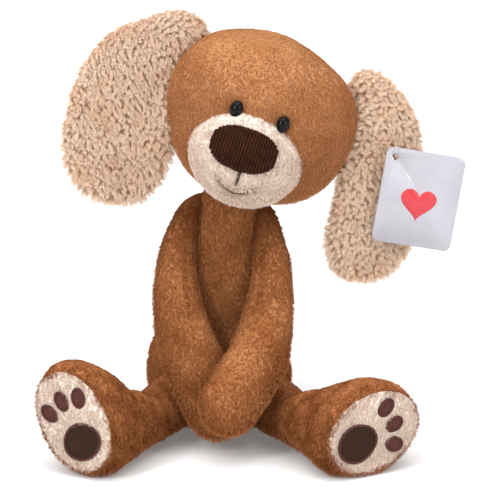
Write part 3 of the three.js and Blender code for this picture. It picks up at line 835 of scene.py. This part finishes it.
def tufts(co, size, height, seed):
    """Rounded clumps, longer than wide, each as high as it is far from the creases around it."""
    found = np.empty(len(co))
    for i, p in enumerate(co * np.array((1, 1, 0.55)) / size + seed):
        bend = noise.noise_vector(Vector(p) * 1.3) * 0.5
        distances, _ = noise.voronoi(Vector(p) + bend)
        found[i] = min(1.0, (distances[1] - distances[0]) * 1.7)
    return height * (found**0.6 - 0.55)


def curl_forward(rings):
    """Brings the right ear's inner edge round the front of the head, which it lies against."""
    middle = rings.mean(axis=1, keepdims=True)
    inwards = rings[..., 0] - middle[..., 0]
    lying = smoothstep(HEAD_CENTRE.z + 35 * MM - rings[..., 2], 0, 40 * MM)
    curl = EAR_CURL * smoothstep(inwards, 12 * MM, 42 * MM) * lying
    rings[..., 1] -= curl
    rings[..., 0] += curl / 4


def build_ear(side):
    name = SIDE_NAMES[side]
    root = head_place @ Vector((side * EAR_ROOT.x, EAR_ROOT.y, EAR_ROOT.z))
    points = [root] + [root + Vector(step) * MM for step in EAR_STEPS[side]]
    rings = swept_rings(points, ear_size(EAR_HALF[side]), EAR_FACING[side], 4 * MM, 170, 170, 2.2)
    if side == RIGHT:
        curl_forward(rings)
    ear = add_rings(name + "_ear_sherpa", rings, materials["sherpa"])
    push(ear, lambda co: relief(co, 45 * MM, 3.0 * MM, side) + tufts(co, 6.5 * MM, 2.2 * MM, 10 * side)
         + tufts(co, 3.0 * MM, 0.8 * MM, 4 * side))
    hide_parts(name + "_ear_outer", name + "_ear_lining")
    finish_soft(ear, None)
    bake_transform(ear)
    add_pile(ear, TUFT, SHERPA_DENSITY, 20 + side, lie=(-0.2 * side, -0.1, -0.7), children=28, clump=0.76,
             curl=0.9 * MM, width=0.22 * MM, segments=6, rough=0.6, rise=1.0)


# ---- Torso, arms, legs and tail ----

TORSO_ROWS = [  # height, half width, half depth, and how far the middle is to the side and back
    (0, 43, 34, 0, 12), (8, 52, 42, 0, 12), (30, 60, 46, -1.5, 12), (62, 59.5, 45, -2.5, 11),
    (96, 48, 40, 0, 8), (132, 39, 33, 4, 4), (166, 31, 27, 7, 0), (186, 27, 24, 8.5, -3),
    (208, 24, 23, 10, -3),
]


SEAT_GAP = 0.4 * MM  # between the torso's skin and the floor


def build_torso():
    rows = np.array(TORSO_ROWS, float) * MM
    base, sides = rows[1, 0], 140
    heights = np.concatenate([np.linspace(0, 1, 5)[:4] ** 2 * base, np.linspace(base, rows[-1, 0], 100)])
    sizes = smooth_through(rows[:, 0], rows[:, 1:], heights)
    ring = circle(sides, 2.15)[None] * (sizes[:, None, :2] - PILE_ROOM) + sizes[:, None, 2:]
    height = np.broadcast_to(heights[:, None, None], (len(heights), sides, 1)) + SEAT_GAP
    torso = add_rings("torso_plush", np.concatenate([ring, height], axis=2), materials["brown"])
    push(torso, lambda co: (relief(co, 36 * MM, 2.0 * MM, 9) + relief(co, 10 * MM, 0.5 * MM, 1)
                            + relief(co, 14 * MM, 0.8 * MM, 6, (1, 1, 0.25)))
         * smoothstep(co[:, 2], 0, 14 * MM))
    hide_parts("torso_skin", "torso_filling", "seat_pellet_pouch")
    finish_soft(torso, "torso")
    add_pile(torso, PILE, PLUSH_DENSITY, 13, children=18, clump=0.75)


ARM_ROUTES = {  # from the hand up to the shoulder, and on into the seam under the head
    LEFT: [(-8, -129, 38), (8, -112, 53), (30, -79, 80), (40.5, -50, 112), (43.5, -29, 150), (36, -10, 186),
           (25, -4, 205)],
    RIGHT: [(5, -86, 15), (-4, -79, 36), (-24, -66, 78), (-36, -46, 114), (-38, -27, 152), (-29.5, -10, 185),
            (-12, -4, 206)],
}
HAND, SHOULDER, HAND_FLAT = 26 * MM, 9 * MM, 0.68


def arm_size(t):
    width = HAND + (SHOULDER - HAND) * smoothstep(t, 0.22, 1.08)
    flat = HAND_FLAT + (0.95 - HAND_FLAT) * t
    return width - PILE_ROOM, width * flat - PILE_ROOM


PUCKER, PUCKER_SIZE = 2.4 * MM, 3 * MM


def seam_puckers(co, points, side):
    """A row of stitch dents up the inner front of the arm, where its seam is drawn tight."""
    places, _, _ = smooth_curve(points, 60)
    depth = np.zeros(len(co))
    for centre in places[26:46:2]:
        stitch = centre + np.array((-side * 10, -14, 0)) * MM
        depth += PUCKER * bell(np.linalg.norm(co - stitch, axis=1), PUCKER_SIZE)
    return np.minimum(depth, PUCKER)


def build_arm(side):
    name = SIDE_NAMES[side] + "_arm"
    points = np.array(ARM_ROUTES[side], float) * MM
    rings = swept_rings(points, arm_size, (0, -0.8, 0.6), HAND, 84, 120)
    arm = add_rings(name + "_plush", rings, materials["arm_brown_shaded"])
    push(arm, lambda co: relief(co, 30 * MM, 1.8 * MM, 4 * side) + relief(co, 9 * MM, 0.5 * MM, side)
         + relief(co, 12 * MM, 0.7 * MM, 6, (1, 1, 0.3)) - seam_puckers(co, points, side))
    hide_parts(name + "_skin", name + "_filling")
    dents = seam_puckers(coordinates(arm), points, side)
    # The crease value drives painted shade in the seam's dents.
    keep(arm, "crease", 0.8 * dents / PUCKER)
    finish_soft(arm, None)
    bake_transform(arm)
    add_pile(arm, PILE, PLUSH_DENSITY, 30 + side, children=18, clump=0.75, bare=dents > 0.5 * PUCKER)


def leg_frame(side):
    hip = joint_place(SIDE_NAMES[side] + "_leg_swing")
    return (Matrix.Translation(hip) @ Matrix.Rotation(side * LEG_YAW, 4, "Z")
            @ Matrix.Rotation(side * LEG_ROLL[side], 4, "Y"))


LEG_ROWS = [  # distance from the hip, lift of the middle, half height towards the toes, half width
    (-24, 0, 1, 1), (-20, 0, 13, 13), (-12, 0, 21, 21), (0, 0, 24, 24), (58, 0, 24, 24), (93, 0, 27, 27),
    (109, 8.5, 38, 33), (123, 17, 47.5, 37), (133, 17, 49.5, 39), (143, 17, 49.5, 39), (153, 17, 43.5, 33),
]
SHIN_SEAM = 84 * MM  # from the hip
THIN_AT, THIN_SIZE, THIN_SHARE = 50 * MM, 26 * MM, 0.15


def from_hip(co, place):
    """How far along the leg each point is from the hip."""
    return -in_frame(co, place)[:, 1]


def shin_seam(distance):
    """The groove and the raised edge of the seam between the leg and the foot, at a distance from the hip."""
    groove = bell(distance - SHIN_SEAM, 1.8 * MM)
    edge = bell(distance - SHIN_SEAM - 4 * MM, 2.5 * MM)
    return -1.6 * MM * groove + 0.9 * MM * edge


def press_thigh(leg, place):
    """Lowers the top of the thigh between the hip and the shin, where the toy's stuffing is thin."""
    co = coordinates(leg)
    co[:, 2] *= 1 - THIN_SHARE * bell(from_hip(co, place) - THIN_AT, THIN_SIZE)
    move_to(leg, co)


def soften(values):
    """Rounds off the corners of a row of values."""
    window = np.hanning(9)[1:-1]
    return np.convolve(np.pad(values, 3, mode="edge"), window / window.sum(), "valid")


def build_leg(side):
    name = SIDE_NAMES[side] + "_leg"
    place = leg_frame(side)
    rows = np.array(LEG_ROWS, float) * MM
    distance = np.linspace(rows[0, 0], rows[-1, 0], 130)
    lift, toe_half, side_half = (soften(np.interp(distance, rows[:, 0], row)) for row in rows.T[1:])
    unit = circle(110)
    toe = unit[None, :, 1] * (toe_half - PILE_ROOM)[:, None] + lift[:, None]
    width = unit[None, :, 0] * (side_half - PILE_ROOM)[:, None]
    back = np.broadcast_to(-distance[:, None], toe.shape)
    leg = add_rings(name + "_plush", np.stack([width, back, toe], axis=2), materials["leg_brown_shaded"], place)
    push(leg, lambda co: relief(co, 30 * MM, 1.8 * MM, 2 * side) + relief(co, 9 * MM, 0.5 * MM, side)
         + shin_seam(from_hip(co, place)))
    press_thigh(leg, place)
    lift_off_floor(leg)
    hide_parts(name + "_skin", name + "_filling")
    finish_soft(leg, name)
    add_pile(leg, PILE, PLUSH_DENSITY, 40 + side, children=18, clump=0.8)
    build_sole(side, place)


def lift_off_floor(obj):
    """Flattens what would lie in the floor."""
    co = coordinates(obj)
    co[:, 2] = np.maximum(co[:, 2], FLOOR_GAP)
    move_to(obj, co)


def disc_rings(half_x, half_y, crown, thickness, sides, rings, bend=None):
    """A domed plate facing +Z: out from its middle over the front, round the edge and back behind."""
    share = np.sin(np.linspace(0.02, 1, rings) * math.pi / 2)
    rise = np.broadcast_to((thickness + crown * (1 - share**2))[:, None, None], (rings, sides, 1))
    front = np.concatenate([circle(sides)[None] * share[:, None, None], rise], axis=2)
    back = front[::-8].copy()
    back[..., 2] = 0
    plate = np.concatenate([front, back])
    plate[..., 0] *= half_x
    plate[..., 1] *= half_y
    return plate if bend is None else bend(plate)


def oval_tube(half_x, half_y, width, height, lift, sides, tube_sides):
    """A tube round an oval, lifted off its plane. Its half width and half height may vary along it."""
    unit = circle(sides)
    turn = (np.arange(tube_sides) / tube_sides * 2 * math.pi)[:, None]
    out = np.cos(turn) * width * np.ones(sides)
    rise = np.sin(turn) * height * np.ones(sides) + lift
    return np.stack([(half_x + out) * unit[:, 0], (half_y + out) * unit[:, 1], rise], axis=2)


HEEL_DROP, TOE_REACH, TOE_SPREAD = 18 * MM, 37 * MM, math.radians(27)
HEEL_HALF = {LEFT: (17 * MM, 19.5 * MM), RIGHT: (19.5 * MM, 16 * MM)}
TOE_HALF = (6.8 * MM, 9 * MM)
HEEL_OFFSET = {LEFT: 2.5 * MM, RIGHT: 0}
PAD_RISE, PAD_BARE = 3.0 * MM, 0.95  # a pad's lift off the sole, and how much of it is free of pile
BORDER, BORDER_RISE, STITCH, STITCH_RIDGE = 2.3 * MM, 0.9 * MM, 1.1 * MM, 0.12 * MM
SEAM_RADIUS, SEAM_PILE = 1.4 * MM, 3.2 * MM


def pad_places(side):
    """Each pad's name, place on the sole, turn and half sizes. The toes fan out above the heel pad."""
    found = [("heel", (HEEL_OFFSET[side], -HEEL_DROP), 0, HEEL_HALF[side])]
    for index, toe in enumerate(("inner", "middle", "outer")):
        angle = TOE_SPREAD * (index - 1) * side
        place = (TOE_REACH * math.sin(angle), TOE_REACH * math.cos(angle) - HEEL_DROP)
        found.append((toe + "_toe", place, -angle, TOE_HALF))
    return found


def build_sole(side, leg_place):
    name = SIDE_NAMES[side]
    on_sole = (leg_place @ Matrix.Translation((0, -LEG_LENGTH, SOLE_LIFT))
               @ Matrix.Rotation(math.pi / 2, 4, "X"))
    body = name + "_leg"
    plate = disc_rings(SOLE_SIDE, SOLE_TOE, 2.2 * MM, 1.6 * MM, 120, 60)
    sole = add_rings(name + "_sole_plush", plate, materials["cream"], on_sole)
    push(sole, lambda co: relief(co, 22 * MM, 0.9 * MM, side) + relief(co, 6 * MM, 0.25 * MM, 3))
    lift_off_floor(sole)
    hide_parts(name + "_sole")
    finish_soft(sole, body)
    flat = in_frame(coordinates(sole), on_sole)
    bare = np.zeros(len(flat), bool)
    for which, (x, y), turn, half in pad_places(side):
        place = Matrix.Translation((x, y, PAD_RISE)) @ Matrix.Rotation(turn, 4, "Z")
        build_pad(name, which, on_sole @ place, *half, body)
        across = (flat[:, 0] - x) * math.cos(turn) + (flat[:, 1] - y) * math.sin(turn)
        along = (flat[:, 1] - y) * math.cos(turn) - (flat[:, 0] - x) * math.sin(turn)
        bare |= (across / half[0]) ** 2 + (along / half[1]) ** 2 < PAD_BARE**2
    add_pile(sole, SHORT_PILE, 300, 50 + side, lie=(0, 0, -0.5), bare=bare)
    build_sole_seam(side, on_sole, body)


def build_sole_seam(side, on_sole, body):
    """The seam round the sole, from which longer brown pile sticks out."""
    rings = oval_tube(SOLE_SIDE, SOLE_TOE, SEAM_RADIUS, SEAM_RADIUS, 0, 160, 8)
    seam = add_tube(SIDE_NAMES[side] + "_sole_seam", rings, materials["leg_brown_shaded"], on_sole)
    lift_off_floor(seam)
    finish_stiff(seam, body)
    add_pile(seam, SEAM_PILE, 220, 70 + side, lie=(0, -0.5, -0.1), clump=0.6, rough=0.8)


def build_pad(name, which, place, half_x, half_y, body):
    """A dark pad with a raised border of satin stitches."""
    def bean(rings):
        """The heel pad is a little narrower towards the toes."""
        high = np.clip(rings[..., 1] / half_y, 0, 1)
        rings[..., 0] *= 1 - 0.12 * high
        return rings
    bend = bean if which == "heel" else None
    name = f"{name}_{which}_pad"
    sides = 240
    plate = disc_rings(half_x - 0.8 * BORDER, half_y - 0.8 * BORDER, 0.8 * MM, 0.9 * MM, sides, 30, bend)
    pad = add_rings(name + "_cloth", plate, materials["pad" if which == "heel" else "stitch"], place)
    finish_stiff(pad, body, name)

    around = np.arange(sides) / sides * 2 * math.pi
    stitches = round(math.pi * (half_x + half_y) / STITCH)
    ridge = STITCH_RIDGE * np.cos(around * stitches)
    half = BORDER / 2
    rings = oval_tube(half_x - half, half_y - half, half + ridge, BORDER_RISE + ridge, 1.0 * MM, sides, 14)
    if bend is not None:
        rings = bend(rings)
    finish_stiff(add_tube(name + "_border", rings, materials["stitch"], place), body)


def build_tail():
    points = np.array([(2, 104, 62), (1, 96, 58), (0, 84, 50), (0, 70.5, 43), (0, 56, 37)], float) * MM
    radius = TAIL_RADIUS - PILE_ROOM
    rings = swept_rings(points, lambda t: (radius, radius), (1, 0, 0), radius, 60, 50)
    tail = add_rings("tail_plush", rings, materials["brown"])
    push(tail, lambda co: relief(co, 12 * MM, 0.9 * MM, 5))
    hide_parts("tail_skin", "tail_filling")
    finish_soft(tail, None)
    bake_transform(tail)
    add_pile(tail, PILE, 260, 60)


# ---- Card, loop and label ----

def rounded_rectangle(width, height, corner, steps=10):
    """The outline's points, anticlockwise, with one corner at the origin."""
    middles = [(width - corner, corner), (width - corner, height - corner), (corner, height - corner),
               (corner, corner)]
    outline = []
    for quarter, (x, y) in enumerate(middles):
        for step in range(steps):
            angle = (quarter - 1 + step / (steps - 1)) * math.pi / 2
            outline.append((x + corner * math.cos(angle), y + corner * math.sin(angle)))
    return np.array(outline)


def slab(name, outline, thickness, material, place, hole=None):
    """A thin plate with softened edges, facing +Z, from an outline and a matching hole outline or none."""
    middle = outline.mean(axis=0)
    edge = 0.12 * MM
    inwards = (middle - outline) / np.linalg.norm(middle - outline, axis=1, keepdims=True) * edge
    count = len(outline)

    def layer(points, z):
        return np.concatenate([points, np.full((len(points), 1), z)], axis=1)
    layers = [layer(outline + inwards, 0), layer(outline, edge), layer(outline, thickness - edge),
              layer(outline + inwards, thickness)]
    if hole is None:
        return add_rings(name, np.stack(layers), material, place)
    layers += [layer(hole, thickness), layer(hole, 0)]
    return add_mesh(name, np.concatenate(layers), ring_faces(len(layers), count, True), material, place)


CARD_WIDTH, CARD_HEIGHT, CARD_THICKNESS, CARD_CORNER = 67 * MM, 82 * MM, 0.8 * MM, 6 * MM
HOLE_INSET, HOLE_RADIUS = 8 * MM, 3 * MM
CARD_ROLL = math.radians(9.5)
LOOP_STEPS = [  # from behind the ear's tufts, through the hole and back
    (-3, 22, 2), (0, 12, 1), (0, 6, 0), (0, 0, 0), (0, -2.4, 3), (0, -2.2, 8.5), (0, 4, 12), (-3, 22, 8),
]
LOOP_RADIUS = 0.45 * MM
LABEL_WIDTH, LABEL_HEIGHT, LABEL_THICKNESS, LABEL_WAVE = 18 * MM, 24 * MM, 0.5 * MM, 0.5 * MM
LABEL_TURN = math.radians(-60)


def heart_outline(size, middle):
    t = np.linspace(0, 2 * math.pi, 72, endpoint=False)
    up = 13 * np.cos(t) - 5 * np.cos(2 * t) - 2 * np.cos(3 * t) - np.cos(4 * t)
    return np.stack([16 * np.sin(t) ** 3, up], axis=1) * size + np.array(middle)


def build_card():
    turn = Matrix.Rotation(CARD_ROLL, 4, "Y") @ Matrix.Rotation(math.pi / 2, 4, "X")
    hole_place = np.array((HOLE_INSET, CARD_HEIGHT - HOLE_INSET))
    place = (Matrix.Translation(joint_place("card_swing")) @ turn
             @ Matrix.Translation((-hole_place[0], -hole_place[1], -CARD_THICKNESS / 2)))
    outline = rounded_rectangle(CARD_WIDTH, CARD_HEIGHT, CARD_CORNER, 16)
    toward = outline - hole_place
    hole = hole_place + toward / np.linalg.norm(toward, axis=1, keepdims=True) * HOLE_RADIUS
    card = slab("hang_card_stock", outline, CARD_THICKNESS, materials["card"], place, hole)
    finish_stiff(card, "card", "hang_card")

    front = place @ Matrix.Translation((0, 0, CARD_THICKNESS - 0.1 * MM))
    heart = heart_outline(0.95 * MM, (CARD_WIDTH / 2, CARD_HEIGHT * 0.46))
    finish_stiff(slab("card_heart_print", heart, 0.3 * MM, materials["print"], front), "card")


def build_loop():
    line = [joint_place("card_swing") + Vector(step) * MM for step in LOOP_STEPS]
    twisted_thread("card_loop_plastic", line, LOOP_RADIUS, materials["clear"], "card_loop", "left_ear")


def build_label():
    low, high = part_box("seam_label")
    place = Matrix.Translation((low + high) / 2) @ Matrix.Rotation(LABEL_TURN, 4, "Z")
    columns, rows = 24, 30
    x, z = np.meshgrid(np.linspace(-LABEL_WIDTH / 2, LABEL_WIDTH / 2, columns),
                       np.linspace(-LABEL_HEIGHT / 2, LABEL_HEIGHT / 2, rows))
    loose = smoothstep(-z, -LABEL_HEIGHT / 2, LABEL_HEIGHT / 2)
    wave = LABEL_WAVE * np.sin(x / LABEL_WIDTH * 2 * math.pi) * loose
    front, back = (np.stack([x, wave + face * LABEL_THICKNESS / 2, z], axis=2).reshape(-1, 3)
                   for face in (-1, 1))
    count = columns * rows
    grid = np.arange(count).reshape(rows, columns)
    faces = []
    for a in grid[:-1, :-1].ravel().tolist():
        faces.append((a, a + 1, a + columns + 1, a + columns))
        faces.append((count + a, count + a + columns, count + a + columns + 1, count + a + 1))
    rim = np.concatenate([grid[0], grid[1:, -1], grid[-1, -2::-1], grid[-2:0:-1, 0]]).tolist()
    for a, b in zip(rim, rim[1:] + rim[:1]):
        faces.append((a, count + a, count + b, b))
    label = add_mesh("seam_label_ribbon", np.concatenate([front, back]), faces, materials["label"], place)
    remember_rest(label)
    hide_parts("seam_label")
    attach(label, "torso")


def finish_washers():
    """The washers behind the eyes stay as they are in the CAD, and get the clear plastic's finish."""
    for side in SIDE_NAMES.values():
        frame["nodes"][side + "_eye_washer"].material_slots[0].material = materials["clear"]


# ---- Stage ----

FLOOR_HALF = 20
SEEN_WORLD, LIGHTING_WORLD = 1.1, 0.55  # the backdrop is white to the eye, and lights the toy more softly
AREA_LIGHTS = (("key", (-0.9, -1.3, 1.0), (0.25, 0.6), 9), ("fill", (1.2, -1.2, 0.8), (0.2, 0.5), 6))
LIT_PLACE = Vector((0.02, 0, 0.18))
SUN_WAY, SUN_POWER, SUN_ANGLE = Vector((0.1, 0.45, -1.6)), 2.1, math.radians(70)
SEEN_PLACE = Vector((0.0248, 0, 0.1534))
DISTANCE, TILT, SEEN_WIDTH = 3.2, math.radians(15), 0.427


def build_floor():
    mesh = bpy.data.meshes.new("floor")
    corners = [(x * FLOOR_HALF, y * FLOOR_HALF, 0) for x, y in ((-1, -1), (1, -1), (1, 1), (-1, 1))]
    mesh.from_pydata(corners, [], [(0, 1, 2, 3)])
    floor = add_object("floor", mesh)
    material = new_material("floor_paint")
    set_shader(material, {
        "Base Color": grey(0.95),
        "Emission Color": WHITE,
        "Emission Strength": 0.12,
        "Roughness": 0.9,
    })
    mesh.materials.append(material)


def build_world():
    world = bpy.data.worlds.new("studio")
    world.use_nodes = True
    background = world.node_tree.nodes["Background"]
    feed(background.inputs["Color"], WHITE)
    strength = world.node_tree.nodes.new("ShaderNodeMapRange")
    feed(strength.inputs["To Min"], LIGHTING_WORLD)
    feed(strength.inputs["To Max"], SEEN_WORLD)
    feed(strength.inputs["Value"], world.node_tree.nodes.new("ShaderNodeLightPath").outputs["Is Camera Ray"])
    feed(background.inputs["Strength"], strength.outputs["Result"])
    bpy.context.scene.world = world


def add_light(name, kind, way, power):
    light = bpy.data.lights.new(name, kind)
    light.energy = power
    obj = add_object(name, light)
    obj.rotation_euler = way.to_track_quat("-Z", "Y").to_euler()
    return obj


def build_lights():
    for name, place, size, power in AREA_LIGHTS:
        lamp = add_light(name, "AREA", LIT_PLACE - Vector(place), power)
        lamp.location = place
        lamp.data.shape = "RECTANGLE"
        lamp.data.size, lamp.data.size_y = size
    add_light("overhead", "SUN", SUN_WAY, SUN_POWER).data.angle = SUN_ANGLE


def build_camera():
    lens = bpy.data.cameras.new("camera")
    camera = add_object("camera", lens)
    camera.location = SEEN_PLACE + DISTANCE * Vector((0, -math.cos(TILT), math.sin(TILT)))
    camera.rotation_euler = (math.pi / 2 - TILT, 0, 0)
    lens.sensor_width = 36
    lens.lens = lens.sensor_width * DISTANCE / SEEN_WIDTH
    bpy.context.scene.camera = camera


bpy.context.scene.view_settings.view_transform = "Standard"
build_camera()
build_floor()
build_world()
build_lights()
build_head()
build_muzzle()
build_nose()
build_mouth()
build_eyes()
for side in (LEFT, RIGHT):
    build_ear(side)
    build_arm(side)
    build_leg(side)
build_torso()
build_tail()
build_card()
build_loop()
build_label()
finish_washers()
